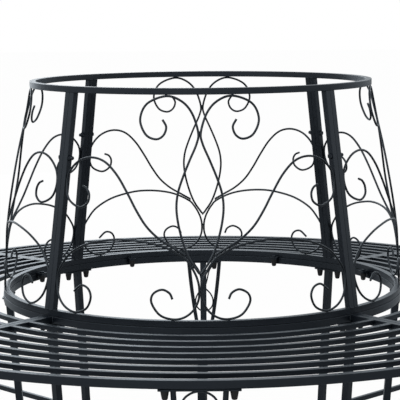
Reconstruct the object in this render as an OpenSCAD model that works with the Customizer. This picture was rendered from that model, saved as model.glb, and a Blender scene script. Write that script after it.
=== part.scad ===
// Round tree bench: four quarter sections with scroll backrests on eight legs.
// Millimetres, +Z up, origin on the floor at the centre of the ring, front along -Y.

/* [Overall size] */
// Outer diameter of the seat
seat_d = 1600; // [1560:10:1700]
// Height of the top of the seat's inner rail
seat_h = 430; // [410:5:470]
// Height of the backrest above the seat's inner rail
back_h = 453; // [430:1:480]
// Outer diameter of the backrest at the seat
back_base_d = 858; // [846:2:866]
// Outer diameter of the backrest at the top
back_top_d = 730; // [716:2:744]
// Fall of the seat from its inner rail to its outer rail
seat_drop = 10; // [0:1:16]

/* [Tube, bar and wire] */
// Square tube of backrest rails, posts and end bars
tube = 12.7; // [11.7:0.1:13.7]
// Square tube of the inner legs and of the feet of the outer legs
leg_tube = 15; // [13:0.5:16]
// Width of the stretchers
stretcher_w = 9; // [8:0.5:12]
// Height of the stretchers' profile
stretcher_t = 12; // [10:0.5:14]
// Square tube of the seat's inner and outer rail
seat_tube = 15; // [13:0.5:16]
// Width of a seat slat
slat_w = 12; // [10:0.5:14]
// Thickness of a seat slat
slat_t = 9; // [6:0.5:10]
// Slats between the inner and the outer rail
slat_count = 7; // [5:1:7]
// Clear gap between the seat's inner rail and its first slat
slat_start = 49; // [40:1:60]
// Diameter of the scroll wire with its coat
wire_d = 4.6; // [3.6:0.2:4.8]
// Diameter of the bowed leg rods
rod_d = 10; // [8:0.5:11]
// Diameter of the figure-eight wire in the legs
loop_d = 4; // [3.2:0.2:4.4]
// Outward bulge of the scrollwork between the rails
bulge = 13; // [0:1:16]

/* [Legs and fixings] */
// Distance that an inner leg leans inwards from top to floor
leg_lean = 32; // [0:2:40]
// Height of the stretchers' centre line above the floor
stretcher_h = 76; // [60:2:86]
// Thickness of the leg plates
plate_t = 3; // [2:0.5:4]
// Width of the leg plates
plate_w = 20; // [18:1:24]
// Spacing of the two bolts in an inner leg plate
inner_bolts = 54; // [50:2:70]
// Spacing of the two bowed rods at the outer leg plate
rod_spacing = 89; // [84:1:92]
// Distance of the outer plate's bolts from the centre lines of the rods
bolt_out = 14; // [14:0.5:18]
// Thread diameter of the bolts
bolt_d = 6; // [5:0.5:6.5]
// Angle of the rail tabs from the middle of a section
tab_angle = 25; // [20:1:30]
// Height of the post bolts above the seat
post_bolt_h = 312; // [280:2:340]

/* [Hidden] */
$fn = 64;
steel = "#2b2f33";
plastic = "#17181a";

// Clearances between pieces that meet
gap = 0.3;
side_gap = 0.2;
end_turn = 0.02;
hole_gap = 0.2;

// Bolts, caps and feet
head_d = 10;
head_t = 4;
nut_w = 10;
nut_h = 5;
dome_d = 8;
dome_h = 6;
bolt_in = 10;
cap_d = 14.5;
cap_tip_d = 9.8;
cap_h = 17;
tab_w = 20;
tab_out = 19;
tab_t = 2.5;
foot_wall = 1.6;
foot_h = 16;
foot_base = 3;

// Radii and heights that follow from the sizes
half = tube / 2;
leg_half = leg_tube / 2;
base_r = back_base_d / 2 - half;
top_r = back_top_d / 2 - half;
rim_r = seat_d / 2 - seat_tube / 2;
low_z = seat_h + gap + tube;
high_z = seat_h + back_h - tube;
post_tilt = atan((base_r - top_r) / (high_z - low_z));
seat_tilt = atan(seat_drop / (rim_r - base_r));
seat_run = rim_r - base_r - seat_tube;
slat_r = base_r + seat_tube / 2 + slat_start + slat_w / 2;
slat_pitch = (rim_r - slat_r) / slat_count;
rail_under = seat_h - seat_tube;
rim_top = seat_h - seat_drop;
rim_under = rim_top - seat_tube;
outer_bolts = rod_spacing + 2 * bolt_out;
leg_r = seat_d / 2 - leg_half - foot_wall - 2 * side_gap;
tab_r = base_r - half - 10;
inner_plate_z = rail_under - gap - plate_t;
outer_plate_z = rim_under - gap - plate_t;
function seat_z(r) = seat_h - seat_drop * (r - base_r) / (rim_r - base_r);

// One quarter section, 0 in front, 1 right, 2 behind, 3 left
module section(k) {
  rotate([0, 0, 90 * k]) children();
}

// X runs outwards at the given turn from the front
module along(turn) {
  rotate([0, 0, turn - 90]) children();
}

// Square bar bent to a quarter circle
module quarter_arc(r, z, w, h, trim = end_turn) {
  rotate([0, 0, -135 + trim])
    rotate_extrude(angle = 90 - 2 * trim, $fn = 180)
      translate([r - w / 2, z]) square([w, h]);
}

// Places for something at both ends of a section, mirrored to its inside
module at_ends() {
  along(45) mirror([0, 1, 0]) children();
  along(-45) children();
}

// Turn that puts a point at the given sideways distance on a circle
function turn_of(side, r) = asin(side / r);

// Bolt holes that rise into the underside of a rail
module rail_holes(r, z, spacing) {
  for (side = [-1, 1])
    along(0) translate([r, side * spacing / 2, z - 1]) cylinder(d = bolt_d + hole_gap, h = bolt_in + 1 + gap);
  at_ends() translate([r, spacing / 2, z - 1]) cylinder(d = bolt_d + hole_gap, h = bolt_in + 1 + gap);
}

module top_rail() {
  quarter_arc(top_r, high_z, tube, tube);
}

module bottom_rail() {
  quarter_arc(base_r, seat_h + gap, tube, tube);
  for (side = [-1, 1]) along(side * tab_angle) rail_tab(seat_h + gap);
}

module inner_rail() {
  difference() {
    quarter_arc(base_r, rail_under, seat_tube, seat_tube);
    rail_holes(base_r, rail_under, inner_bolts);
  }
  for (side = [-1, 1]) along(side * tab_angle) rail_tab(seat_h - tab_t);
}

module outer_rail() {
  difference() {
    quarter_arc(rim_r, rim_under, seat_tube, seat_tube);
    rail_holes(leg_r, rim_under, outer_bolts);
  }
}

// Drilled tab on the inner face of a rail
module rail_tab(z) {
  difference() {
    translate([base_r - half - tab_out, -tab_w / 2, z]) cube([tab_out + 3, tab_w, tab_t]);
    translate([tab_r, 0, z - 1]) cylinder(d = bolt_d + hole_gap, h = tab_t + 2);
  }
}

// Leaning post at one end of a section
module post() {
  lift = tube * sin(post_tilt) + 4;
  difference() {
    intersection() {
      translate([base_r, side_gap, low_z])
        rotate([0, -post_tilt, 0])
          translate([-half, 0, -lift]) cube([tube, tube, high_z - low_z + 3 * lift]);
      translate([top_r - 3 * tube, 0, low_z]) cube([base_r - top_r + 6 * tube, 2 * tube, high_z - low_z]);
    }
    translate([post_r(seat_h + post_bolt_h), -1, seat_h + post_bolt_h])
      rotate([-90, 0, 0]) cylinder(d = bolt_d + hole_gap, h = tube + 3);
  }
}

function post_r(z) = base_r - (base_r - top_r) * (z - low_z) / (high_z - low_z);

module posts() {
  at_ends() post();
}

// Straight bar under the seat slope at one end of a section
module end_bar() {
  start = base_r + seat_tube / 2;
  translate([start, side_gap, seat_z(start) - tube])
    intersection() {
      rotate([0, seat_tilt, 0]) translate([-3, 0, 0]) cube([seat_run + 8, tube, tube]);
      translate([gap, 0, -3 * tube]) cube([seat_run - 2 * gap, tube, 5 * tube]);
    }
}

module end_bars() {
  at_ends() end_bar();
}

// Curved slats, evenly spaced, top faces on the seat slope, ends against the end bars
module slats() {
  for (i = [0 : slat_count - 1]) {
    r = slat_r + i * slat_pitch;
    trim = turn_of(side_gap + tube + side_gap, r - slat_w / 2);
    quarter_arc(r, seat_z(r) - slat_t, slat_w, slat_t, trim);
  }
}

// Scrollwork: control points are distances from the middle line and heights
// above the lowest wire centre, for a panel 422.7 high
panel_v = 422.7;
panel_w0 = 316.5;
panel_w1 = 266.8;
wire_r = wire_d / 2;
wire_sides = 6;
wire_steps = 2;
wire_out = half - wire_r - gap;
// Distance from the middle line where a wire lies against its mirror
touch = wire_r + side_gap;

// Tall wire: top scroll, two bows and half of the V that it shares with its mirror
tall_half = [
  [71, 378], [64, 364], [70, 348], [85, 341], [105, 350], [116, 378], [102, 408], [64, 422.7],
  [34, 413], [14, 390], [touch, 354], [6, 332], [19, 302], [33, 268], [42, 240], [45, 213],
  [42, 184], [34, 151], [22, 119], [8, 97]];
tall_foot = [[0, 88]];
// Middle wire: rises from the V to a loop beside the post
middle_wire = [
  [30, 124], [54, 138], [80, 154], [104, 176], [124, 205], [143, 238], [165, 271], [192, 295],
  [224, 302], [257, 293], [283, 270], [292, 243], [283, 217], [255, 204], [234, 213], [229, 229],
  [235, 241], [246, 246]];
// Low wire: scroll at the post, flat arch, bow at the middle and scroll on the rail
low_wire = [
  [266, 41], [248, 54], [231, 49], [225, 32], [236, 10], [263, 0], [289, 7], [307, 24],
  [315, 48], [311, 72], [297, 93], [273, 116], [230, 136], [178, 147], [139, 149], [98, 145],
  [64, 136], [33, 120], [22, 108], [13, 94], [6, 78], [touch, 60], [4, 38], [14, 18],
  [32, 4], [54, 0], [79, 8], [95, 31], [92, 48], [75, 57], [60, 51], [54, 39]];

function flip(points) = [for (p = points) [-p[0], p[1]]];
function turned(points) = [for (i = [len(points) - 1 : -1 : 0]) points[i]];
tall_wire = concat(flip(tall_half), tall_foot, turned(tall_half));

// Smooth curve through control points
function blend(a, b, c, d, t) =
  0.5 * (2 * b + (c - a) * t + (2 * a - 5 * b + 4 * c - d) * t * t + (3 * b - a - 3 * c + d) * t * t * t);
function curve(p, n) = let (m = len(p), q = concat([2 * p[0] - p[1]], p, [2 * p[m - 1] - p[m - 2]]))
  concat([for (i = [0 : m - 2]) for (j = [0 : n - 1]) blend(q[i], q[i + 1], q[i + 2], q[i + 3], j / n)], [p[m - 1]]);

function limit(x, low, high) = min(max(x, low), high);
function panel_half(v) = panel_w0 - (panel_w0 - panel_w1) * v / panel_v;
function frame_z(v) = low_z + wire_r + gap + (high_z - low_z - 2 * wire_r - 2 * gap) * v / panel_v;
function edge_turn(r) = 45 - asin((side_gap + tube + gap + wire_r) / r);
function wire_bulge(s, v) = bulge * sin(180 * pow(v / panel_v, 0.75)) * (1 - pow(s / panel_half(v), 2));

// Point of the panel on the leaning, slightly bulging surface of the backrest
function panel_point(p) =
  let (v = limit(p[1], 0, panel_v), s = p[0], z = frame_z(v), base = post_r(z) + wire_out,
       r = base + wire_bulge(s, v), fit = base * edge_turn(base) * PI / 180 / panel_half(v) / 1.01,
       turn = limit(s / r * fit * 180 / PI, -edge_turn(base), edge_turn(base)))
  [r * sin(turn), -r * cos(turn), z];

function unit(v) = v / norm(v);
function outward(p) = unit([p[0], p[1], norm([p[0], p[1]]) * (base_r - top_r) / (high_z - low_z)]);

// Round wire along points in space; out gives the direction that stays square to it
module wire(points, d, sides, out = undef) {
  n = len(points);
  rings = [for (i = [0 : n - 1])
    let (t = unit(points[min(i + 1, n - 1)] - points[max(i - 1, 0)]),
         o = is_undef(out) ? outward(points[i]) : out,
         b = unit(cross(t, o)), c = unit(cross(b, t)))
    for (j = [0 : sides - 1]) points[i] + d / 2 * (cos(360 * j / sides) * b + sin(360 * j / sides) * c)];
  walls = [for (i = [0 : n - 2]) for (j = [0 : sides - 1])
    let (k = (j + 1) % sides)
    each [[i * sides + j, i * sides + k, (i + 1) * sides + j],
          [i * sides + k, (i + 1) * sides + k, (i + 1) * sides + j]]];
  ends = [[for (j = [sides - 1 : -1 : 0]) j], [for (j = [0 : sides - 1]) (n - 1) * sides + j]];
  polyhedron(rings, concat(walls, ends));
}

module panel_wire(points) {
  wire([for (p = curve(points, wire_steps)) panel_point(p)], wire_d, wire_sides);
}

module scrolls() {
  panel_wire(tall_wire);
  panel_wire(middle_wire);
  panel_wire(flip(middle_wire));
  panel_wire(low_wire);
  panel_wire(flip(low_wire));
}

// Inner leg: plate under the rail and a tube that leans inwards
leg_tilt = atan(leg_lean / inner_plate_z);

module in_leg_frame() {
  translate([base_r - leg_lean, 0, 0]) rotate([0, leg_tilt, 0]) children();
}

module inner_leg() {
  intersection() {
    in_leg_frame() translate([-leg_half, -leg_half, foot_base + gap]) cube([leg_tube, leg_tube, seat_h]);
    translate([0, -2 * tube, 0]) cube([2 * base_r, 4 * tube, inner_plate_z + 1]);
  }
  difference() {
    translate([base_r - plate_w / 2, -inner_bolts / 2 - 10, inner_plate_z])
      cube([plate_w, inner_bolts + 20, plate_t]);
    for (side = [-1, 1])
      translate([base_r, side * inner_bolts / 2, inner_plate_z - 1])
        cylinder(d = bolt_d + hole_gap, h = plate_t + 2);
  }
}

// Outer leg: plate, two bowed rods that meet at a short foot tube, figure-eight wire
joint_z = stretcher_h + stretcher_t / 2 + 22;
rod_drop = outer_plate_z - joint_z;
rod_shift = rod_spacing / 2 - rod_d / 2 - side_gap;
rod_start = 2.9;
// Radius of a bow that starts at rod_start degrees and moves in by rod_shift
rod_bow = (pow(rod_drop, 2) + pow(rod_shift, 2)) / (2 * (rod_shift * cos(rod_start) - rod_drop * sin(rod_start)));
rod_sweep = 2 * atan(rod_shift / rod_drop) - 2 * rod_start;

// Half spacing of the rods' centre lines at a depth below the outer plate
function rod_y(depth) = rod_spacing / 2 - rod_bow * cos(rod_start)
  + sqrt(pow(rod_bow, 2) - pow(depth + 1 + rod_bow * sin(rod_start), 2));

// Figure-eight: half width and height below the outer plate, drawn for rods 89 apart and 298 high
eight_w = 89;
eight_h = 298;
eight_low_w = 22.5;
eight_half = [
  [0, -1], [14, -4], [26, -13], [33, -28], [32, -44], [24, -58], [14, -74], [9, -94],
  [5, -110], [0, -120]];
eight_low = [
  [-8, -128], [-17, -139], [-22.5, -154], [-21, -170], [-12, -182], [0, -186]];

// The lower loop is as wide as the room between the rods, and bites into both
eight_drop = rod_drop / eight_h;
loop_bite = 1;
low_half = rod_y(160 * eight_drop) - rod_d / 2 - loop_d / 2 + loop_bite;

module bowed_rod() {
  translate([leg_r, rod_spacing / 2, outer_plate_z + 1])
    rotate([90, 0, 90])
      translate([-rod_bow * cos(rod_start), rod_bow * sin(rod_start), 0])
        rotate([0, 0, -rod_start - rod_sweep - 0.2])
          rotate_extrude(angle = rod_sweep + 0.2, $fn = 360)
            translate([rod_bow, 0]) circle(d = rod_d);
}

module figure_eight() {
  loop = concat([for (p = eight_half) [p[0] * rod_spacing / eight_w, p[1] * eight_drop]],
                [for (p = eight_low) [p[0] * low_half / eight_low_w, p[1] * eight_drop]]);
  mirrored = turned([for (i = [1 : len(loop) - 2]) [-loop[i][0], loop[i][1]]]);
  ring = concat(loop, mirrored);
  n = len(ring);
  points = [for (i = [0 : n - 1]) for (j = [0 : 1])
    blend(ring[(i + n - 1) % n], ring[i], ring[(i + 1) % n], ring[(i + 2) % n], j / 2)];
  m = len(points);
  sides = 5;
  lift = outer_plate_z - loop_d / 2 - gap + 1;
  verts = [for (i = [0 : m - 1])
    let (t = unit(points[(i + 1) % m] - points[(i + m - 1) % m]), side = [-t[1], t[0]],
         away = sin(360 * (i - m / 2) / m) * (loop_d / 2 + 2 * side_gap))
    for (j = [0 : sides - 1])
      [leg_r + away + loop_d / 2 * sin(360 * j / sides),
       points[i][0] + loop_d / 2 * cos(360 * j / sides) * side[0],
       lift + points[i][1] + loop_d / 2 * cos(360 * j / sides) * side[1]]];
  faces = [for (i = [0 : m - 1]) for (j = [0 : sides - 1])
    let (a = i * sides, b = ((i + 1) % m) * sides, k = (j + 1) % sides)
    each [[a + j, b + j, a + k], [a + k, b + j, b + k]]];
  polyhedron(verts, faces);
}

module outer_leg() {
  difference() {
    translate([seat_d / 2 - plate_w, -outer_bolts / 2 - 12, outer_plate_z])
      cube([plate_w, outer_bolts + 24, plate_t]);
    for (side = [-1, 1])
      translate([leg_r, side * outer_bolts / 2, outer_plate_z - 1])
        cylinder(d = bolt_d + hole_gap, h = plate_t + 2);
  }
  bowed_rod();
  mirror([0, 1, 0]) bowed_rod();
  translate([leg_r - leg_half, -leg_half, foot_base + gap])
    cube([leg_tube, leg_tube, joint_z + 2 - foot_base - gap]);
  figure_eight();
}

module stretcher() {
  inner = base_r - leg_lean + stretcher_h * tan(leg_tilt) + leg_half;
  difference() {
    translate([inner - leg_tube, -stretcher_w / 2, stretcher_h - stretcher_t / 2])
      cube([leg_r - leg_half - side_gap - inner + leg_tube, stretcher_w, stretcher_t]);
    in_leg_frame() translate([-3 * leg_tube, -leg_tube, 0])
      cube([3 * leg_tube + leg_half + side_gap, 2 * leg_tube, seat_h]);
  }
}

// Round-headed bolt, head down, shank up
module bolt_up(shank) {
  rotate([180, 0, 0]) cylinder(d = head_d, h = head_t);
  cylinder(d = bolt_d, h = shank);
}

// Tapered cap with a domed tip that hides a bolt head
module bolt_cap() {
  difference() {
    rotate_extrude()
      polygon([[0, 0], [cap_d / 2, 0], [cap_d / 2, -3], [cap_tip_d / 2 + 0.4, -cap_h + 3],
               [cap_tip_d / 2 - 0.8, -cap_h + 1], [cap_tip_d / 2 - 2.4, -cap_h], [0, -cap_h]]);
    translate([0, 0, -head_t - gap]) cylinder(d = head_d + hole_gap, h = head_t + gap + 1);
  }
}

// Every bolt position under the leg plates
module at_leg_bolts() {
  for (i = [0 : 7]) {
    along(45 * i) for (side = [-1, 1]) {
      translate([base_r, side * inner_bolts / 2, inner_plate_z]) children();
      translate([leg_r, side * outer_bolts / 2, outer_plate_z]) children();
    }
  }
}

module at_tabs() {
  for (k = [0 : 3])
    for (side = [-1, 1])
      along(90 * k + side * tab_angle) translate([tab_r, 0, 0]) children();
}

// Plastic shoe on a tube end, cut level with the floor
module shoe() {
  outer = leg_tube + 2 * foot_wall + 2 * side_gap;
  difference() {
    translate([-outer / 2, -outer / 2, -3]) cube([outer, outer, foot_h + 3]);
    translate([-leg_half - side_gap, -leg_half - side_gap, foot_base])
      cube([leg_tube + 2 * side_gap, leg_tube + 2 * side_gap, foot_h]);
  }
}

module level_cut() {
  difference() {
    children();
    translate([base_r - 100, -50, -20]) cube([rim_r - base_r + 200, 100, 20]);
  }
}

module back_front_top_rail() { color(steel) section(0) top_rail(); }
module back_right_top_rail() { color(steel) section(1) top_rail(); }
module back_rear_top_rail() { color(steel) section(2) top_rail(); }
module back_left_top_rail() { color(steel) section(3) top_rail(); }
module back_front_bottom_rail() { color(steel) section(0) bottom_rail(); }
module back_right_bottom_rail() { color(steel) section(1) bottom_rail(); }
module back_rear_bottom_rail() { color(steel) section(2) bottom_rail(); }
module back_left_bottom_rail() { color(steel) section(3) bottom_rail(); }
module back_front_posts() { color(steel) section(0) posts(); }
module back_right_posts() { color(steel) section(1) posts(); }
module back_rear_posts() { color(steel) section(2) posts(); }
module back_left_posts() { color(steel) section(3) posts(); }
module back_front_scrolls() { color(steel) section(0) scrolls(); }
module back_right_scrolls() { color(steel) section(1) scrolls(); }
module back_rear_scrolls() { color(steel) section(2) scrolls(); }
module back_left_scrolls() { color(steel) section(3) scrolls(); }
module seat_front_inner_rail() { color(steel) section(0) inner_rail(); }
module seat_right_inner_rail() { color(steel) section(1) inner_rail(); }
module seat_rear_inner_rail() { color(steel) section(2) inner_rail(); }
module seat_left_inner_rail() { color(steel) section(3) inner_rail(); }
module seat_front_outer_rail() { color(steel) section(0) outer_rail(); }
module seat_right_outer_rail() { color(steel) section(1) outer_rail(); }
module seat_rear_outer_rail() { color(steel) section(2) outer_rail(); }
module seat_left_outer_rail() { color(steel) section(3) outer_rail(); }
module seat_front_slats() { color(steel) section(0) slats(); }
module seat_right_slats() { color(steel) section(1) slats(); }
module seat_rear_slats() { color(steel) section(2) slats(); }
module seat_left_slats() { color(steel) section(3) slats(); }
module seat_front_end_bars() { color(steel) section(0) end_bars(); }
module seat_right_end_bars() { color(steel) section(1) end_bars(); }
module seat_rear_end_bars() { color(steel) section(2) end_bars(); }
module seat_left_end_bars() { color(steel) section(3) end_bars(); }
module leg_front_inner() { color(steel) along(0) inner_leg(); }
module leg_front_right_inner() { color(steel) along(45) inner_leg(); }
module leg_right_inner() { color(steel) along(90) inner_leg(); }
module leg_rear_right_inner() { color(steel) along(135) inner_leg(); }
module leg_rear_inner() { color(steel) along(180) inner_leg(); }
module leg_rear_left_inner() { color(steel) along(225) inner_leg(); }
module leg_left_inner() { color(steel) along(270) inner_leg(); }
module leg_front_left_inner() { color(steel) along(315) inner_leg(); }
module leg_front_outer() { color(steel) along(0) outer_leg(); }
module leg_front_right_outer() { color(steel) along(45) outer_leg(); }
module leg_right_outer() { color(steel) along(90) outer_leg(); }
module leg_rear_right_outer() { color(steel) along(135) outer_leg(); }
module leg_rear_outer() { color(steel) along(180) outer_leg(); }
module leg_rear_left_outer() { color(steel) along(225) outer_leg(); }
module leg_left_outer() { color(steel) along(270) outer_leg(); }
module leg_front_left_outer() { color(steel) along(315) outer_leg(); }

module stretchers() {
  color(steel) for (i = [0 : 7]) along(45 * i) stretcher();
}

// Two posts are clamped by a hexagon bolt with a domed cap nut
module post_bolts() {
  z = seat_h + post_bolt_h;
  reach = side_gap + tube;
  color(steel) for (i = [0 : 3])
    along(90 * i + 45) translate([post_r(z), 0, z]) rotate([-90, 0, 0]) {
      cylinder(d = bolt_d, h = 2 * reach + 2, center = true);
      translate([0, 0, reach]) cap_nut();
      translate([0, 0, -reach - head_t]) hexagon(head_t);
    }
}

module hexagon(h) {
  cylinder(d = nut_w / cos(30), h = h, $fn = 6);
}

module cap_nut() {
  hexagon(nut_h);
  intersection() {
    translate([0, 0, nut_h - 1]) cylinder(d = dome_d, h = dome_h + 2);
    translate([0, 0, nut_h + dome_h - dome_d / 2 - 0.2]) sphere(d = dome_d + 0.4);
  }
}

module tab_bolts() {
  color(steel) at_tabs() {
    translate([0, 0, seat_h - tab_t]) bolt_up(2 * tab_t + gap + 3);
    translate([0, 0, seat_h + gap + tab_t]) cylinder(d = head_d, h = 3, $fn = 6);
  }
}

module leg_bolts() {
  color(steel) at_leg_bolts() bolt_up(plate_t + gap + bolt_in - 1);
}

module bolt_caps() {
  color(plastic) {
    at_leg_bolts() bolt_cap();
    at_tabs() translate([0, 0, seat_h - tab_t]) bolt_cap();
  }
}

module foot_caps() {
  color(plastic) for (i = [0 : 7]) along(45 * i) {
    level_cut() in_leg_frame() shoe();
    level_cut() translate([leg_r, 0, 0]) shoe();
  }
}

back_front_top_rail();
back_front_bottom_rail();
back_front_posts();
back_front_scrolls();
seat_front_inner_rail();
seat_front_outer_rail();
seat_front_slats();
seat_front_end_bars();
back_right_top_rail();
back_right_bottom_rail();
back_right_posts();
back_right_scrolls();
seat_right_inner_rail();
seat_right_outer_rail();
seat_right_slats();
seat_right_end_bars();
back_rear_top_rail();
back_rear_bottom_rail();
back_rear_posts();
back_rear_scrolls();
seat_rear_inner_rail();
seat_rear_outer_rail();
seat_rear_slats();
seat_rear_end_bars();
back_left_top_rail();
back_left_bottom_rail();
back_left_posts();
back_left_scrolls();
seat_left_inner_rail();
seat_left_outer_rail();
seat_left_slats();
seat_left_end_bars();
leg_front_inner();
leg_front_outer();
leg_front_right_inner();
leg_front_right_outer();
leg_right_inner();
leg_right_outer();
leg_rear_right_inner();
leg_rear_right_outer();
leg_rear_inner();
leg_rear_outer();
leg_rear_left_inner();
leg_rear_left_outer();
leg_left_inner();
leg_left_outer();
leg_front_left_inner();
leg_front_left_outer();
stretchers();
post_bolts();
tab_bolts();
leg_bolts();
bolt_caps();
foot_caps();
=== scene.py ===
from math import asin, atan, cos, degrees, pi, radians, sin, sqrt

import bpy
import bmesh
from mathutils import Matrix, Vector


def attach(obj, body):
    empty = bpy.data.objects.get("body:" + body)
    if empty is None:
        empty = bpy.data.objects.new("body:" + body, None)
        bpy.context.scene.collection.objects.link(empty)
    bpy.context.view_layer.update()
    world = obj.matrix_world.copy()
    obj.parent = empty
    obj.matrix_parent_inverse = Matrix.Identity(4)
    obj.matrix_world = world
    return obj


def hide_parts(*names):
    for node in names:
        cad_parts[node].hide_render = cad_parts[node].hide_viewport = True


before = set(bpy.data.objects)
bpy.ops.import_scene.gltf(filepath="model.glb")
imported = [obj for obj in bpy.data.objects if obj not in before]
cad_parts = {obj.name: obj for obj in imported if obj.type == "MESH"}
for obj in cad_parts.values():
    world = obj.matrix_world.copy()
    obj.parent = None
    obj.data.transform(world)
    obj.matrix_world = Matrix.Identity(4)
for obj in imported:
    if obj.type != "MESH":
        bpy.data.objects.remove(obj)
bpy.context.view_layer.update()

MM = 0.001
X, Y, Z = Vector((1, 0, 0)), Vector((0, 1, 0)), Vector((0, 0, 1))


# Camera: low, a little to the right of the front, as in the photograph
PICTURE = 400
FOCAL = 1532.7
CENTRE_AT = 198.07
CAMERA_AT = (0.0236, -3.294, 1.0457)
TURN, PITCH, ROLL = radians(-0.538), radians(7.354), radians(-0.469)


def add_camera():
    ahead = Vector((sin(TURN), cos(TURN), 0))
    right = Vector((cos(TURN), -sin(TURN), 0))
    view = ahead * cos(PITCH) - Z * sin(PITCH)
    up = ahead * sin(PITCH) + Z * cos(PITCH)
    across = right * cos(ROLL) + up * sin(ROLL)
    upward = up * cos(ROLL) - right * sin(ROLL)
    data = bpy.data.cameras.new("camera")
    data.sensor_width = 36
    data.lens = 36 * FOCAL / PICTURE
    data.shift_x = (PICTURE / 2 - CENTRE_AT) / PICTURE
    data.clip_end = 60
    camera = bpy.data.objects.new("camera", data)
    camera.matrix_world = Matrix.Translation(CAMERA_AT) @ Matrix(
        (across, upward, -view)).transposed().to_4x4()
    bpy.context.scene.collection.objects.link(camera)
    bpy.context.scene.camera = camera


add_camera()


# Sizes in millimetres, as in the part
SEAT_D, SEAT_H, BACK_H, BASE_D, TOP_D, SEAT_DROP = 1600, 430, 453, 858, 730, 10
TUBE, SEAT_TUBE, SLAT_W, SLAT_T, SLATS, SLAT_START = 12.7, 15, 12, 9, 7, 49
WIRE, ROD, LOOP, BULGE = 4.6, 10, 4, 13
LEG_TUBE, STRETCHER_W, STRETCHER_T, STRETCHER_H = 15, 9, 12, 76
LEAN, PLATE_T, PLATE_W = 32, 3, 20
INNER_BOLTS, OUTER_BOLTS, ROD_SPACING, BOLT = 54, 117, 89, 6
TAB_TURN, POST_BOLT_H = 25, 312
GAP, SIDE_GAP, END_TURN = 0.3, 0.2, 0.02
HEAD_D, HEAD_T, CAP_D, CAP_TIP, CAP_H = 10, 4, 14.5, 9.8, 17
NUT_W, NUT_H, DOME_D, DOME_H = 10, 5, 8, 6
NUT_T, LEG_BOLT_IN, TAB_BOLT_OVER = 3, 9, 3
TAB_W, TAB_OUT, TAB_T, TAB_BITE = 20, 19, 2.5, 3
SHOE_WALL, SHOE_H, SHOE_BASE = 1.6, 16, 3
INNER_PLATE_ENDS, OUTER_PLATE_ENDS, FOOT_RISE, FOOT_OVER = 20, 24, 22, 2

HALF = TUBE / 2
LEG_HALF = LEG_TUBE / 2
BASE_R = BASE_D / 2 - HALF
TOP_R = TOP_D / 2 - HALF
RIM_R = SEAT_D / 2 - SEAT_TUBE / 2
LOW_Z = SEAT_H + GAP + TUBE
HIGH_Z = SEAT_H + BACK_H - TUBE
RIM_UNDER = SEAT_H - SEAT_DROP - SEAT_TUBE
SLAT_R = BASE_R + SEAT_TUBE / 2 + SLAT_START + SLAT_W / 2
SLAT_PITCH = (RIM_R - SLAT_R) / SLATS
LEG_R = SEAT_D / 2 - LEG_HALF - SHOE_WALL - 2 * SIDE_GAP
TAB_R = BASE_R - HALF - 10
INNER_PLATE_Z = SEAT_H - SEAT_TUBE - GAP - PLATE_T
OUTER_PLATE_Z = RIM_UNDER - GAP - PLATE_T
POST_TILT = atan((BASE_R - TOP_R) / (HIGH_Z - LOW_Z))
SEAT_TILT = atan(SEAT_DROP / (RIM_R - BASE_R))
LEG_TILT = atan(LEAN / INNER_PLATE_Z)


# Fineness of the modelling, in millimetres and counts
CORNER, SLAT_CORNER, SHEET_CORNER = 0.9, 0.8, 4
PLATE_CORNER, SHOE_CORNER, SHOE_LIP = 3, 2.2, 0.35
CORNER_STEPS, WIDE_CORNER_STEPS = 3, 4
SPARE = 20  # length added to a bar and then trimmed off
BITE = 0.5  # how far a leg's tube or rod runs into its plate
BEND_STEPS, ROD_STEPS = 45, 24
CURVE_STEPS, WIRE_ROUNDNESS = 6, 3
RIPPLE = 1.3


def seat_z(r):
    return SEAT_H - SEAT_DROP * (r - BASE_R) / (RIM_R - BASE_R)


def post_r(z):
    return BASE_R - (BASE_R - TOP_R) * (z - LOW_Z) / (HIGH_Z - LOW_Z)


# Bench work: a piece is modelled for the front section or leg, then copied round
def clear_bench():
    if bpy.context.object and bpy.context.object.mode != "OBJECT":
        bpy.ops.object.mode_set(mode="OBJECT")
    bpy.ops.object.select_all(action="DESELECT")


def take(piece):
    clear_bench()
    piece.select_set(True)
    bpy.context.view_layer.objects.active = piece


def settle(piece):
    """Puts the piece's place into its mesh."""
    take(piece)
    bpy.ops.object.transform_apply(location=True, rotation=True, scale=True)
    return piece


def pick(piece, faces=None, edges=None):
    """Selects the faces or edges for which the test holds, in edit mode."""
    take(piece)
    bpy.ops.object.mode_set(mode="EDIT")
    bpy.ops.mesh.select_mode(type="FACE" if faces else "EDGE")
    bpy.ops.mesh.select_all(action="DESELECT")
    mesh = bmesh.from_edit_mesh(piece.data)
    for part in (mesh.faces if faces else mesh.edges):
        if (faces or edges)(part):
            part.select_set(True)
    bmesh.update_edit_mesh(piece.data)


def done(piece):
    bpy.ops.object.mode_set(mode="OBJECT")
    return piece


def smooth(piece, angle=35):
    take(piece)
    bpy.ops.object.shade_smooth_by_angle(angle=radians(angle))
    even = piece.modifiers.new("even", "WEIGHTED_NORMAL")
    even.keep_sharp = True
    bpy.ops.object.modifier_apply(modifier=even.name)
    return piece


def moved(piece, matrix):
    piece.data.transform(matrix)
    return piece


def copy_of(piece, matrix, name="part"):
    """A copy with its own mesh, placed by the matrix."""
    twin = piece.copy()
    twin.data = piece.data.copy()
    twin.data.transform(matrix)
    twin.name = name
    bpy.context.scene.collection.objects.link(twin)
    return twin


def discard(*pieces):
    for piece in pieces:
        bpy.data.objects.remove(piece)


def join(name, pieces):
    clear_bench()
    for piece in pieces:
        piece.select_set(True)
    bpy.context.view_layer.objects.active = pieces[0]
    if len(pieces) > 1:
        bpy.ops.object.join()
    pieces[0].name = name
    return pieces[0]


def shift(x=0, y=0, z=0):
    return Matrix.Translation(Vector((x, y, z)) * MM)


def turn(angle, axis="Z"):
    return Matrix.Rotation(radians(angle), 4, axis)


def along(angle):
    """X runs outwards at the given turn from the front."""
    return turn(angle - 90)


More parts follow.
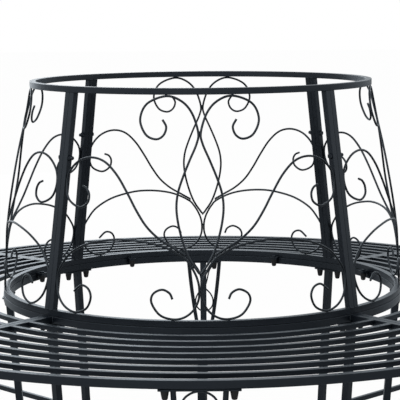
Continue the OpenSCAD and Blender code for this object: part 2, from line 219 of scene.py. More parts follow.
def lines_along(axis):
    """The test for edges that run along an axis."""
    return lambda e: abs((e.verts[0].co - e.verts[1].co).normalized().dot(axis)) > 0.99


def bevel(size, steps=CORNER_STEPS, corners=False):
    bpy.ops.mesh.bevel(offset=size * MM, segments=steps, clamp_overlap=True,
                       affect="VERTICES" if corners else "EDGES")


def block(size, at, round_edges, corner=CORNER, steps=CORNER_STEPS):
    """A bar or plate of the given size about its centre, with rounded edges along one axis."""
    bpy.ops.mesh.primitive_cube_add(size=1, location=Vector(at) * MM)
    piece = bpy.context.object
    piece.scale = Vector(size) * MM
    settle(piece)
    pick(piece, edges=lines_along(round_edges))
    bevel(corner, steps)
    return done(piece)


def trim(piece, at, normal):
    """Cuts off what lies beyond a plane and closes the cut."""
    pick(piece, faces=lambda f: True)
    bpy.ops.mesh.bisect(plane_co=Vector(at) * MM, plane_no=normal, use_fill=True, clear_outer=True)
    return done(piece)


def mitre(piece, low, high):
    """Level cuts at two heights."""
    trim(piece, (0, 0, low), -Z)
    return trim(piece, (0, 0, high), Z)


def spun(piece, centre, axis, angle, steps):
    """Sweeps a flat profile round an axis into a closed bar."""
    pick(piece, faces=lambda f: True)
    bpy.ops.mesh.spin(steps=steps, angle=radians(angle), center=Vector(centre) * MM, axis=axis)
    bpy.ops.mesh.select_all(action="SELECT")
    bpy.ops.mesh.remove_doubles(threshold=1e-6)
    bpy.ops.mesh.select_all(action="DESELECT")
    bpy.ops.mesh.select_mode(type="EDGE")
    bpy.ops.mesh.select_non_manifold()
    if any(e.select for e in bmesh.from_edit_mesh(piece.data).edges):
        bpy.ops.mesh.edge_face_add()
    bpy.ops.mesh.select_all(action="SELECT")
    bpy.ops.mesh.normals_make_consistent(inside=False)
    return done(piece)


def bent_bar(radius, low, width, height, cut=END_TURN, corner=CORNER):
    """Square bar bent to the quarter circle of the front section."""
    bpy.ops.mesh.primitive_plane_add(size=1, location=(0, 0, 0), rotation=(pi / 2, 0, 0))
    bar = bpy.context.object
    bar.scale = (width * MM, height * MM, 1)
    settle(bar)
    pick(bar, faces=lambda f: True)
    bevel(corner, corners=True)
    done(bar)
    moved(bar, turn(-135 + cut) @ shift(radius, 0, low + height / 2))
    return spun(bar, (0, 0, 0), -Z, 90 - 2 * cut, BEND_STEPS)


def wire(points, thickness, closed=False):
    """Round wire on a smooth curve through the points, with cut ends eased."""
    bpy.ops.curve.primitive_bezier_curve_add(location=(0, 0, 0))
    piece = bpy.context.object
    line = piece.data.splines[0]
    line.bezier_points.add(len(points) - 2)
    line.use_cyclic_u = closed
    count = len(points)
    for i, (knot, point) in enumerate(zip(line.bezier_points, points)):
        before = points[(i - 1) % count] if closed or i else point
        after = points[(i + 1) % count] if closed or i < count - 1 else point
        ease = (after - before) / (6 if closed or 0 < i < count - 1 else 3)
        knot.handle_left_type = knot.handle_right_type = "FREE"
        knot.co, knot.handle_left, knot.handle_right = (
            p * MM for p in (point, point - ease, point + ease))
    piece.data.dimensions = "3D"
    piece.data.resolution_u = piece.data.render_resolution_u = CURVE_STEPS
    piece.data.bevel_depth = thickness / 2 * MM
    piece.data.bevel_resolution = WIRE_ROUNDNESS
    piece.data.use_fill_caps = not closed
    take(piece)
    bpy.ops.object.convert(target="MESH")
    if not closed:
        pick(piece, faces=lambda f: len(f.verts) > 4)
        bevel(thickness / 6, 2)
        done(piece)
    return settle(piece)


def weld(length, size):
    """A run of weld: a round bead with ripples and thin ends, along X about its middle."""
    end, ripple_dip = 0.25, 0.16  # shares of the size
    bpy.ops.mesh.primitive_circle_add(vertices=10, radius=size * end * MM, fill_type="NGON",
                                      location=(-length / 2 * MM, 0, 0), rotation=(0, pi / 2, 0))
    bead = settle(bpy.context.object)
    pick(bead, faces=lambda f: True)
    count = max(6, int(length / RIPPLE) * 3)
    last = end
    for i in range(1, count + 1):
        place = i / count
        taper = min(1, 0.45 + 4 * min(place, 1 - place))
        wanted = end if i == count else 0.5 * taper * (1 - ripple_dip * (i % 3 == 0))
        bpy.ops.mesh.extrude_region_move(
            TRANSFORM_OT_translate={"value": (length / count * MM, 0, 0)})
        bpy.ops.transform.resize(value=(1, wanted / last, wanted / last))
        last = wanted
    bpy.ops.mesh.select_all(action="SELECT")
    bpy.ops.mesh.normals_make_consistent(inside=False)
    done(bead)
    return smooth(bead, 60)


def bead_at(bead, at, direction):
    """The bead moved to a point and turned to lie along a direction."""
    turned = Vector(direction).to_track_quat("X", "Z").to_matrix().to_4x4()
    return copy_of(bead, Matrix.Translation(Vector(at) * MM) @ turned)


# Sections and legs, with the turn of each from the front
SECTIONS = {"front": 0, "right": 90, "rear": 180, "left": 270}
LEGS = {"front": 0, "front_right": 45, "right": 90, "rear_right": 135,
        "rear": 180, "rear_left": 225, "left": 270, "front_left": 315}
STEEL, PLASTIC = "coated_steel", "black_plastic"


def hand_over(piece, slot, *nodes):
    """The finished piece rides on the bench and stands for its nodes."""
    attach(piece, "root")
    if nodes:
        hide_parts(*nodes)


def round_the_ring(places, piece_name, node_name, piece):
    """Copies a finished steel piece of the front to every place round the ring."""
    for place, angle in places.items():
        twin = copy_of(piece, turn(angle), piece_name.format(place))
        hand_over(twin, STEEL, *([node_name.format(place)] if node_name else []))
    discard(piece)


# Materials
class Value:
    """A shader socket that takes part in sums and products. Inlets given as _0, _1 go by number."""

    def __init__(self, tree, socket):
        self.tree, self.socket = tree, socket

    def node(self, kind, settings=None, outlet=0, **inlets):
        made = self.tree.nodes.new(kind)
        for key, value in (settings or {}).items():
            setattr(made, key, value)
        for key, value in inlets.items():
            inlet = made.inputs[int(key[1:]) if key[0] == "_" else key.replace("_", " ")]
            if isinstance(value, Value):
                self.tree.links.new(value.socket, inlet)
            else:
                inlet.default_value = value
        return Value(self.tree, made.outputs[outlet])

    def maths(self, operation, other):
        return self.node("ShaderNodeMath", {"operation": operation}, _0=self, _1=other)

    def __add__(self, other):
        return self.maths("ADD", other)

    def __mul__(self, other):
        return self.maths("MULTIPLY", other)

    def noise(self, scale, detail, roughness):
        return self.node("ShaderNodeTexNoise", {"noise_dimensions": "3D"}, Vector=self,
                         Scale=scale, Detail=detail, Roughness=roughness)

    def between(self, low, high):
        return self.node("ShaderNodeMapRange", {"interpolation_type": "SMOOTHSTEP"}, Value=self,
                         From_Min=low, From_Max=high)

    def blend(self, first, second):
        return self.node("ShaderNodeMix", {"data_type": "RGBA"}, outlet=2,
                         _0=self, _6=(*first, 1), _7=(*second, 1))


def finish_of(name, **constants):
    """A new material, its shader and the object's own coordinates."""
    material = bpy.data.materials.new(name)
    material.use_nodes = True
    tree = material.node_tree
    shader = tree.nodes["Principled BSDF"]
    for key, value in constants.items():
        shader.inputs[key.replace("_", " ")].default_value = value
    place = Value(tree, tree.nodes.new("ShaderNodeTexCoord").outputs["Object"])
    return material, shader, place


def plug(shader, **links):
    for key, value in links.items():
        value.tree.links.new(value.socket, shader.inputs[key.replace("_", " ")])


def bump(height, strength, distance):
    return height.node("ShaderNodeBump", Strength=strength, Distance=distance, Height=height)


def coat(name, dark, light, roughness, peel):
    """Satin powder coat: blue-black, with a faint orange peel, thicker and thinner in drifts.

    The half share of metal gives its sheen the same cool tint at every angle.
    """
    material, shader, place = finish_of(name, Specular_IOR_Level=0.72, IOR=1.5, Metallic=0.5,
                                        Specular_Tint=(0.78, 0.90, 1, 1))
    drift = place.noise(14, 4, 0.55)
    grain = place.noise(1500, 2, 0.5)
    skin = place.noise(420, 3, 0.5)
    plug(shader,
         Base_Color=(drift * 0.75 + grain * 0.25).between(0.3, 0.7).blend(dark, light),
         Roughness=drift * 0.10 + grain * 0.08 + (roughness - 0.09),
         Normal=bump(skin * 0.7 + grain * 0.3, 0.35, peel * MM))
    return material


satin_black = coat("satin_black_coat", (0.0032, 0.0052, 0.0092), (0.0056, 0.0080, 0.0126),
                   0.36, 0.05)
coated_weld = coat("coated_weld", (0.0032, 0.0050, 0.0082), (0.0054, 0.0076, 0.0112), 0.42, 0.12)
coated_wire = coat("coated_wire", (0.0032, 0.0048, 0.0074), (0.0054, 0.0072, 0.0102), 0.34, 0.04)


def moulded(name):
    """Fine-grained black plastic of the caps and shoes."""
    material, shader, place = finish_of(name, Specular_IOR_Level=0.32, IOR=1.49)
    grain = place.noise(2600, 2, 0.6)
    cloud = place.noise(60, 3, 0.5)
    plug(shader,
         Base_Color=cloud.between(0.3, 0.7).blend((0.0056, 0.0064, 0.0078),
                                                  (0.0084, 0.0094, 0.0110)),
         Roughness=grain * 0.15 + cloud * 0.08 + 0.38,
         Normal=bump(grain, 0.4, 0.06 * MM))
    return material


moulded_black = moulded("moulded_black_plastic")


def painted(piece, material):
    piece.data.materials.clear()
    piece.data.materials.append(material)
    return piece


def steel(piece):
    return painted(piece, satin_black)


# Backrest and seat rails
def rail_tab(angle, low):
    """Drilled tab with rounded outer corners, on the inner face of a rail."""
    tab = block((TAB_OUT + TAB_BITE, TAB_W, TAB_T),
                (BASE_R - HALF - TAB_OUT / 2 + TAB_BITE / 2, 0, low + TAB_T / 2),
                Z, SHEET_CORNER, WIDE_CORNER_STEPS)
    return moved(tab, along(angle))


def rail(radius, low, size, tabs=None):
    """Quarter ring of square tube, with its two tabs at the height tabs."""
    parts = [bent_bar(radius, low, size, size)]
    if tabs is not None:
        parts += [rail_tab(side * TAB_TURN, tabs) for side in (-1, 1)]
    return steel(smooth(join("rail", parts)))


round_the_ring(SECTIONS, "{}_top_rail", "back_{}_top_rail", rail(TOP_R, HIGH_Z, TUBE))
round_the_ring(SECTIONS, "{}_backrest_foot_rail", "back_{}_bottom_rail",
               rail(BASE_R, SEAT_H + GAP, TUBE, SEAT_H + GAP))
round_the_ring(SECTIONS, "{}_seat_inner_rail", "seat_{}_inner_rail",
               rail(BASE_R, SEAT_H - SEAT_TUBE, SEAT_TUBE, SEAT_H - TAB_T))
round_the_ring(SECTIONS, "{}_seat_outer_rail", "seat_{}_outer_rail",
               rail(RIM_R, RIM_UNDER, SEAT_TUBE))


def pair_at_ends(piece):
    """The same piece at both ends of the front section, beside the joint."""
    off = SIDE_GAP + HALF
    first = copy_of(piece, along(-45) @ shift(y=off))
    second = copy_of(piece, along(45) @ shift(y=-off))
    discard(piece)
    return [first, second]


def post():
    """Square tube that leans in from the seat to the top rail."""
    length = (HIGH_Z - LOW_Z) / cos(POST_TILT)
    piece = block((TUBE, TUBE, length + SPARE), (0, 0, length / 2), Z)
    moved(piece, shift(BASE_R, 0, LOW_Z) @ turn(-degrees(POST_TILT), "Y"))
    return mitre(piece, LOW_Z, HIGH_Z)


def end_bar():
    """Straight bar on the seat slope, from the inner to the outer rail."""
    start, end = BASE_R + SEAT_TUBE / 2 + GAP, RIM_R - SEAT_TUBE / 2 - GAP
    piece = block((end - start + SPARE, TUBE, TUBE), (0, 0, -HALF), X)
    middle = (start + end) / 2
    moved(piece, shift(middle, 0, seat_z(middle)) @ turn(degrees(SEAT_TILT), "Y"))
    trim(piece, (start, 0, 0), -X)
    return trim(piece, (end, 0, 0), X)


def slats():
    bars = []
    for i in range(SLATS):
        r = SLAT_R + i * SLAT_PITCH
        cut = degrees(asin((2 * SIDE_GAP + TUBE) / (r - SLAT_W / 2)))
        bars.append(bent_bar(r, seat_z(r) - SLAT_T, SLAT_W, SLAT_T, cut, SLAT_CORNER))
    return bars


round_the_ring(SECTIONS, "{}_posts", "back_{}_posts",
               steel(smooth(join("posts", pair_at_ends(post())))))
round_the_ring(SECTIONS, "{}_end_bars", "seat_{}_end_bars",
               steel(smooth(join("bars", pair_at_ends(end_bar())))))
round_the_ring(SECTIONS, "{}_slats", "seat_{}_slats", steel(smooth(join("slats", slats()))))


# Scrollwork on the leaning, slightly bulging surface of the backrest, by distance from the
# section's middle line and height above the lowest wire
PANEL_V, PANEL_W0, PANEL_W1 = 422.7, 316.5, 266.8
PANEL_EASE, BULGE_RISE = 1.01, 0.75
WIRE_OUT = HALF - WIRE / 2 - GAP
TOUCH = WIRE / 2 + SIDE_GAP
TALL_HALF = [
    (71, 378), (64, 364), (70, 348), (85, 341), (105, 350), (116, 378), (102, 408), (64, 422.7),
    (34, 413), (14, 390), (TOUCH, 354), (6, 332), (19, 302), (33, 268), (42, 240), (45, 213),
    (42, 184), (34, 151), (22, 119), (8, 97)]
MIDDLE = [
    (30, 124), (54, 138), (80, 154), (104, 176), (124, 205), (143, 238), (165, 271), (192, 295),
    (224, 302), (257, 293), (283, 270), (292, 243), (283, 217), (255, 204), (234, 213), (229, 229),
    (235, 241), (246, 246)]
LOW = [
    (266, 41), (248, 54), (231, 49), (225, 32), (236, 10), (263, 0), (289, 7), (307, 24),
    (315, 48), (311, 72), (297, 93), (273, 116), (230, 136), (178, 147), (139, 149), (98, 145),
    (64, 136), (33, 120), (22, 108), (13, 94), (6, 78), (TOUCH, 60), (4, 38), (14, 18),
    (32, 4), (54, 0), (79, 8), (95, 31), (92, 48), (75, 57), (60, 51), (54, 39)]


def flip(points):
    return [(-s, v) for s, v in points]


def on_panel(s, v, proud=0):
    """The point of a wire's centre line at a distance across and a height of the pattern."""
    v = min(max(v, 0), PANEL_V)
    half_width = PANEL_W0 - (PANEL_W0 - PANEL_W1) * v / PANEL_V
    z = LOW_Z + WIRE / 2 + GAP + (HIGH_Z - LOW_Z - WIRE - 2 * GAP) * v / PANEL_V
    base = post_r(z) + WIRE_OUT
    edge = radians(45) - asin((SIDE_GAP + TUBE + GAP + WIRE / 2) / base)
    r = base + BULGE * sin(pi * (v / PANEL_V) ** BULGE_RISE) * (1 - (s / half_width) ** 2)
    angle = min(max(s / r * base * edge / half_width / PANEL_EASE, -edge), edge)
    r += proud
    return Vector((r * sin(angle), -r * cos(angle), z))


def panel_wire(points):
    return wire([on_panel(s, v) for s, v in points], WIRE)


def scrollwork():
    wires = [panel_wire(flip(TALL_HALF) + [(0, 88)] + TALL_HALF[::-1])]
    for points in (MIDDLE, LOW):
        wires += [panel_wire(points), panel_wire(flip(points))]
    return painted(smooth(join("scrollwork", wires), 40), coated_wire)


round_the_ring(SECTIONS, "{}_scrollwork", "back_{}_scrolls", scrollwork())


# Legs
def plate(width, length, low, at):
    return block((width, length, PLATE_T), (at, 0, low + PLATE_T / 2), Z,
                 PLATE_CORNER, WIDE_CORNER_STEPS)


def leaning():
    """Stands an upright inner leg on its place, leaning outwards."""
    return shift(BASE_R - LEAN) @ turn(degrees(LEG_TILT), "Y")


def inner_leg():
    tube = block((LEG_TUBE, LEG_TUBE, SEAT_H), (0, 0, SHOE_BASE + GAP + SEAT_H / 2), Z)
    moved(tube, leaning())
    trim(tube, (0, 0, INNER_PLATE_Z + BITE), Z)
    flat = plate(PLATE_W, INNER_BOLTS + INNER_PLATE_ENDS, INNER_PLATE_Z, BASE_R)
    return steel(smooth(join("leg", [tube, flat])))


JOINT_Z = STRETCHER_H + STRETCHER_T / 2 + FOOT_RISE
ROD_DROP = OUTER_PLATE_Z - JOINT_Z
ROD_SHIFT = ROD_SPACING / 2 - ROD / 2 - SIDE_GAP
ROD_START = 2.9
ROD_BOW = (ROD_DROP ** 2 + ROD_SHIFT ** 2) / (
    2 * (ROD_SHIFT * cos(radians(ROD_START)) - ROD_DROP * sin(radians(ROD_START))))
ROD_SWEEP = 2 * degrees(atan(ROD_SHIFT / ROD_DROP)) - 2 * ROD_START


# Right half of the figure-eight wire, by distance from its middle and height under its top,
# drawn for rods of this drop and spacing that leave this half gap at the low loop
DRAWN_DROP, DRAWN_SPACING, DRAWN_LOW_Z, DRAWN_LOW_HALF = 298, 89, 160, 22.5
EIGHT_DROP = ROD_DROP / DRAWN_DROP
EIGHT_HIGH = [
    (0, -1), (14, -4), (26, -13), (33, -28), (32, -44), (24, -58), (14, -74), (9, -94),
    (5, -110), (0, -120)]
EIGHT_LOW = [(-8, -128), (-17, -139), (-22.5, -154), (-21, -170), (-12, -182), (0, -186)]


def rod_y(depth):
    """Half spacing of the rods' centre lines at a depth below the outer plate."""
    start = radians(ROD_START)
    below = depth + 1 + ROD_BOW * sin(start)
    return ROD_SPACING / 2 - ROD_BOW * cos(start) + sqrt(ROD_BOW ** 2 - below ** 2)


def bowed_rod(side):
    """Round rod from the outer plate, bowed out and then in to the foot tube."""
    start = radians(ROD_START)
    centre = Vector((LEG_R, side * (ROD_SPACING / 2 - ROD_BOW * cos(start)),
                     OUTER_PLATE_Z + BITE + ROD_BOW * sin(start)))
    bpy.ops.mesh.primitive_circle_add(vertices=20, radius=ROD / 2 * MM, fill_type="NGON",
                                      location=Vector((LEG_R, side * ROD_SPACING / 2,
                                                       OUTER_PLATE_Z + BITE)) * MM,
                                      rotation=(side * start, 0, 0))
    rod = settle(bpy.context.object)
    return spun(rod, centre, X * -side, -ROD_SWEEP, ROD_STEPS)


def figure_eight():
    """One closed wire that crosses itself, one strand in front of the other."""
    low_half = rod_y(DRAWN_LOW_Z * EIGHT_DROP) - ROD / 2 - LOOP / 2 + 1
    loop = [(y * ROD_SPACING / DRAWN_SPACING, z * EIGHT_DROP) for y, z in EIGHT_HIGH]
    loop += [(y * low_half / DRAWN_LOW_HALF, z * EIGHT_DROP) for y, z in EIGHT_LOW]
    loop += [(-y, z) for y, z in loop[-2:0:-1]]
    count = len(loop)
    lift = OUTER_PLATE_Z - LOOP / 2 - GAP + 1
    sway = LOOP / 2 + 2 * SIDE_GAP
    points = [Vector((LEG_R + sin(2 * pi * (i - count / 2) / count) * sway, y, lift + z))
              for i, (y, z) in enumerate(loop)]
    return wire(points, LOOP, closed=True)


def outer_leg():
    top = JOINT_Z + FOOT_OVER
    foot = block((LEG_TUBE, LEG_TUBE, top - SHOE_BASE - GAP),
                 (LEG_R, 0, (top + SHOE_BASE + GAP) / 2), Z)
    flat = plate(PLATE_W, OUTER_BOLTS + OUTER_PLATE_ENDS, OUTER_PLATE_Z, SEAT_D / 2 - PLATE_W / 2)
    parts = [flat, bowed_rod(-1), bowed_rod(1), foot, figure_eight()]
    return steel(smooth(join("leg", parts)))


def leg_r(z):
    """Distance of an inner leg's centre line from the bench's middle at a height."""
    return BASE_R - LEAN + z * sin(LEG_TILT) / cos(LEG_TILT)


def stretcher():
    inner = leg_r(STRETCHER_H) + LEG_HALF
    outer = LEG_R - LEG_HALF - SIDE_GAP
    bar = block((outer - inner + SPARE, STRETCHER_W, STRETCHER_T),
                ((inner + outer - SPARE) / 2, 0, STRETCHER_H), X)
    face = leaning() @ Vector(((LEG_HALF + SIDE_GAP) * MM, 0, 0)) / MM
    return trim(bar, face, Vector((-cos(LEG_TILT), 0, sin(LEG_TILT))))


round_the_ring(LEGS, "{}_inner_leg", "leg_{}_inner", moved(inner_leg(), along(0)))
round_the_ring(LEGS, "{}_outer_leg", "leg_{}_outer", moved(outer_leg(), along(0)))


def everywhere(name, node, pattern, places, slot, finish):
    """One piece made of a copy of the pattern at every place."""
    made = finish(join(name, [copy_of(pattern, place) for place in places]))
    discard(pattern)
    hand_over(made, slot, node)


everywhere("stretchers_all", "stretchers", smooth(stretcher()),
           [turn(a) @ along(0) for a in LEGS.values()], STEEL, steel)


# Bolts, caps and shoes
def lathe_start(sides, radius, low, height):
    bpy.ops.mesh.primitive_cylinder_add(vertices=sides, radius=radius * MM, depth=height * MM,
                                        location=(0, 0, (low + height / 2) * MM))
    return settle(bpy.context.object)


def grow(piece, up, steps):
    """Draws the top or bottom face out in steps of rise and share of width."""
    pick(piece, faces=lambda f: f.normal.z * up > 0.9)
    for rise, share in steps:
        bpy.ops.mesh.extrude_region_move(TRANSFORM_OT_translate={"value": (0, 0, up * rise * MM)})
        bpy.ops.transform.resize(value=(share, share, 1))
    return done(piece)


def hexagon(height):
    piece = lathe_start(6, NUT_W / 2 / cos(pi / 6), 0, height - 0.5)
    return grow(piece, 1, [(0.5, 0.9)])


def cap_nut():
    """Hexagon and dome of a cap nut, seat at the origin."""
    dome = lathe_start(28, DOME_D / 2, NUT_H - 1, DOME_H - 2.2)
    grow(dome, 1, [(1, 0.95), (0.9, 0.87), (0.7, 0.74), (0.4, 0.6), (0.15, 0.4)])
    return join("nut", [hexagon(NUT_H), dome])


def clamped_bolt(reach):
    """Shank through both posts, with a hexagon head at one end and a cap nut at the other."""
    parts = [lathe_start(20, BOLT / 2, -reach, 2 * reach), moved(cap_nut(), shift(z=reach)),
             moved(hexagon(HEAD_T), turn(180, "X") @ shift(z=reach))]
    return moved(smooth(join("bolt", parts), 40), turn(-90, "X"))


def bolt_up(shank):
    """Pan head below, plain shank above."""
    head = lathe_start(28, HEAD_D / 2, -HEAD_T + 1, HEAD_T - 1)
    grow(head, -1, [(0.6, 0.92), (0.4, 0.8)])
    return smooth(join("bolt", [head, lathe_start(20, BOLT / 2, 0, shank)]), 50)


def nut():
    piece = lathe_start(6, HEAD_D / 2, 0, NUT_T)
    pick(piece, edges=lambda e: True)
    bevel(0.3, 2)
    return smooth(done(piece))


def cap():
    """Skirt, taper and rounded tip of a plastic bolt cap, mouth up."""
    piece = lathe_start(32, CAP_D / 2, -3, 3)
    taper = (CAP_TIP / 2 + 0.4) / (CAP_D / 2)
    grow(piece, -1, [(CAP_H - 6, taper), (1.4, 0.9), (0.9, 0.8), (0.5, 0.66), (0.2, 0.45)])
    pick(piece, edges=lambda e: all(abs(v.co.z) < 1e-6 for v in e.verts))
    bevel(0.4, 2)
    return smooth(done(piece), 40)


def shoe():
    """Plastic shoe with a rounded lip, its sole cut level later."""
    outer = LEG_TUBE + 2 * SHOE_WALL + 2 * SIDE_GAP
    piece = block((outer, outer, SHOE_H + SHOE_BASE), (0, 0, (SHOE_H - SHOE_BASE) / 2), Z,
                  SHOE_CORNER, WIDE_CORNER_STEPS)
    pick(piece, faces=lambda f: f.normal.z > 0.9)
    bpy.ops.mesh.inset(thickness=SHOE_WALL * MM)
    bpy.ops.mesh.extrude_region_move(
        TRANSFORM_OT_translate={"value": (0, 0, -(SHOE_H - SHOE_BASE) * MM)})
    done(piece)
    top = SHOE_H * MM
    pick(piece, edges=lambda e: all(abs(v.co.z - top) < 1e-6 for v in e.verts)
         and len(e.link_faces) == 2 and any(abs(f.normal.z) < 0.5 for f in e.link_faces))
    bevel(SHOE_LIP, 2)
    return done(piece)


def level_with_floor(piece):
    return smooth(trim(piece, (0, 0, 0), -Z))


post_bolt_z = SEAT_H + POST_BOLT_H
everywhere("post_bolts_all", "post_bolts", clamped_bolt(SIDE_GAP + TUBE),
           [along(45 + 90 * i) @ shift(post_r(post_bolt_z), 0, post_bolt_z) for i in range(4)],
           STEEL, steel)

plate_holes = ((BASE_R, INNER_BOLTS, INNER_PLATE_Z), (LEG_R, OUTER_BOLTS, OUTER_PLATE_Z))
leg_places = [turn(a) @ along(0) @ shift(r, side * spacing / 2, z)
              for a in LEGS.values() for side in (-1, 1) for r, spacing, z in plate_holes]
tab_places = [along(a + side * TAB_TURN) @ shift(TAB_R)
              for a in SECTIONS.values() for side in (-1, 1)]
everywhere("leg_bolts_all", "leg_bolts", bolt_up(PLATE_T + GAP + LEG_BOLT_IN), leg_places,
           STEEL, steel)

tab_bolt = join("bolt", [moved(bolt_up(2 * TAB_T + GAP + TAB_BOLT_OVER), shift(z=SEAT_H - TAB_T)),
                         moved(nut(), shift(z=SEAT_H + GAP + TAB_T))])
everywhere("tab_bolts_all", "tab_bolts", tab_bolt, tab_places, STEEL, steel)


def plastic(piece):
    return painted(piece, moulded_black)


everywhere("bolt_caps_all", "bolt_caps", cap(),
           leg_places + [p @ shift(z=SEAT_H - TAB_T) for p in tab_places], PLASTIC, plastic)

leaning_shoe = level_with_floor(moved(shoe(), leaning()))
upright_shoe = level_with_floor(moved(shoe(), shift(LEG_R)))
shoes = [copy_of(s, turn(a) @ along(0))
         for s in (leaning_shoe, upright_shoe) for a in LEGS.values()]
discard(leaning_shoe, upright_shoe)
hand_over(plastic(join("shoes_all", shoes)), PLASTIC, "foot_caps")


# Welds
long_bead, short_bead, spot = weld(10.5, 3.2), weld(7, 2.6), weld(4.6, 3.4)
JOINTS = ((-45, 1), (45, -1))  # turn of each end of a section, and the way to its inside


def post_welds():
    made = []
    for a, side in JOINTS:
        y = side * (SIDE_GAP + HALF)
        for z, face in ((LOW_Z, 1), (LOW_Z, -1), (HIGH_Z, -1)):
            at = Vector((post_r(z) + face * HALF, y, z))
            made.append(moved(bead_at(long_bead, at, Y), along(a)))
        for z in (LOW_Z, HIGH_Z):
            at = Vector((post_r(z), y + side * HALF, z))
            made.append(moved(bead_at(long_bead, at, X), along(a)))
    return made


def bar_welds():
    made = []
    for a, side in JOINTS:
        y = side * (SIDE_GAP + HALF)
        for r in (BASE_R + SEAT_TUBE / 2, RIM_R - SEAT_TUBE / 2):
            low = seat_z(r) - TUBE
            made.append(moved(bead_at(long_bead, (r, y, low + 0.4), Y), along(a)))
            made.append(moved(bead_at(long_bead, (r, y + side * HALF, low + HALF), Z), along(a)))
        for i in range(SLATS):
            r = SLAT_R + i * SLAT_PITCH
            edge = side * (2 * SIDE_GAP + TUBE)
            made.append(moved(bead_at(short_bead, (r, edge, seat_z(r) - SLAT_T), X), along(a)))
    return made


def wire_welds():
    """Spots where wires meet rails, posts and each other."""
    made = []
    spots = [((64, 422.7), Z), ((54, 0), Z), ((263, 0), Z), ((292, 243), X), ((315, 48), X),
             ((31, 122), X)]
    for (s, v), axis in spots:
        for side in (-1, 1):
            at = on_panel(side * s, v)
            if axis == Z:
                at.z += (WIRE / 2 + GAP) * (1 if v > 100 else -1)
                ahead = on_panel(side * s + 1, v) - on_panel(side * s - 1, v)
            else:
                ahead = on_panel(side * s, v + 1) - on_panel(side * s, v - 1)
            made.append(bead_at(spot, at, ahead))
    for v in (354, 60, 86):
        made.append(bead_at(spot, on_panel(0, v, -0.6), on_panel(0, v + 1) - on_panel(0, v)))
    return made


def tab_welds():
    made = []
    for side in (-1, 1):
        for z, half in ((SEAT_H - TAB_T, SEAT_TUBE / 2), (SEAT_H + GAP + TAB_T, HALF)):
            made.append(moved(bead_at(long_bead, (BASE_R - half, 0, z), Y), along(side * TAB_TURN)))
    return made


round_the_ring(SECTIONS, "{}_section_welds", None,
               painted(join("welds", post_welds() + bar_welds() + wire_welds() + tab_welds()),
                       coated_weld))


def leg_welds():
    top, low = leg_r(INNER_PLATE_Z), leg_r(STRETCHER_H)
    foot_face, rod_face = LEG_R - LEG_HALF, ROD / 2 + HALF * 0.1
    made = []
    for side in (-1, 1):
        made.append(bead_at(long_bead, (top + side * LEG_HALF, 0, INNER_PLATE_Z), Y))
        made.append(bead_at(long_bead, (top, side * LEG_HALF, INNER_PLATE_Z), X))
        made.append(bead_at(long_bead, (low + LEG_HALF, side * STRETCHER_W / 2, STRETCHER_H), Z))
        made.append(bead_at(long_bead, (foot_face, side * STRETCHER_W / 2, STRETCHER_H), Z))
        made.append(bead_at(long_bead, (LEG_R, side * rod_face, JOINT_Z + FOOT_OVER), X))
        for angle in range(0, 360, 60):
            out = Vector((cos(radians(angle)), sin(radians(angle)), 0))
            at = Vector((LEG_R, side * ROD_SPACING / 2, OUTER_PLATE_Z)) + out * ROD / 2
            made.append(bead_at(spot, at, Z.cross(out)))
    for face in (-1, 1):
        z = STRETCHER_H + face * STRETCHER_T / 2
        made.append(bead_at(short_bead, (leg_r(z) + LEG_HALF, 0, z), Y))
        made.append(bead_at(short_bead, (foot_face, 0, z), Y))
    made.append(bead_at(spot, (LEG_R, 0, OUTER_PLATE_Z - 1.2), Y))
    return moved(painted(join("welds", made), coated_weld), along(0))


round_the_ring(LEGS, "{}_leg_welds", None, leg_welds())
discard(long_bead, short_bead, spot)


# Floor, background and light
FLOOR_SIZE, SEEN_WHITE = 60, 0.98


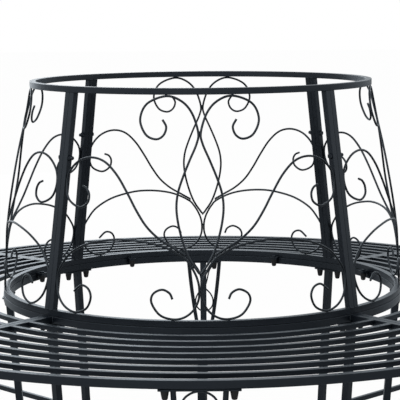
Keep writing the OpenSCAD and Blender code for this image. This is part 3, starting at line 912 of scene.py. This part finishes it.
def add_floor():
    bpy.ops.mesh.primitive_plane_add(size=FLOOR_SIZE, location=(0, 0, 0))
    floor = bpy.context.object
    floor.name = "floor"
    material = bpy.data.materials.new("pale_floor")
    material.use_nodes = True
    tree = material.node_tree
    shader = tree.nodes["Principled BSDF"]
    shader.inputs["Base Color"].default_value = (0.7, 0.7, 0.7, 1)
    shader.inputs["Roughness"].default_value = 0.9
    shader.inputs["Specular IOR Level"].default_value = 0.1
    glow = tree.nodes.new("ShaderNodeEmission")
    glow.inputs["Strength"].default_value = 1
    seen = Value(tree, tree.nodes.new("ShaderNodeLightPath").outputs["Is Camera Ray"])
    mix = seen.node("ShaderNodeMixShader", _0=seen * SEEN_WHITE, _1=Value(tree, shader.outputs[0]),
                    _2=Value(tree, glow.outputs[0]))
    tree.links.new(mix.socket, tree.nodes["Material Output"].inputs["Surface"])
    floor.data.materials.append(material)


def add_lamp(name, at, size, power):
    data = bpy.data.lights.new(name, "AREA")
    data.shape, data.size, data.energy = "DISK", size, power
    lamp = bpy.data.objects.new(name, data)
    lamp.location = at
    lamp.rotation_euler = (Vector((0, 0, 0.5)) - Vector(at)).to_track_quat("-Z", "Y").to_euler()
    bpy.context.scene.collection.objects.link(lamp)


def add_world():
    world = bpy.data.worlds.new("studio")
    bpy.context.scene.world = world
    world.use_nodes = True
    tree = world.node_tree
    path = tree.nodes.new("ShaderNodeLightPath")
    camera, gloss, clear = (Value(tree, path.outputs[n]) for n in (
        "Is Camera Ray", "Is Glossy Ray", "Is Transmission Ray"))
    plain = (camera + gloss + clear).node("ShaderNodeClamp", Value=camera + gloss + clear)
    tree.links.new((plain * 0.5 + 0.5).socket, tree.nodes["Background"].inputs["Strength"])
    tree.nodes["Background"].inputs["Color"].default_value = (1, 1, 1, 1)


add_floor()
add_world()
for lamp_name, lamp_at, lamp_size, watts in (
        ("key", (-2.6, -2.8, 3.2), 3.2, 60), ("left", (-4.5, -3.0, 1.3), 3.0, 4),
        ("right", (4.0, -3.5, 1.4), 3.0, 3), ("front", (0.0, -6.0, 1.4), 4.0, 12),
        ("back", (-2.2, 5.2, 1.9), 5.0, 78)):
    add_lamp(lamp_name, lamp_at, lamp_size, watts)
bpy.context.scene.view_settings.view_transform = "Standard"
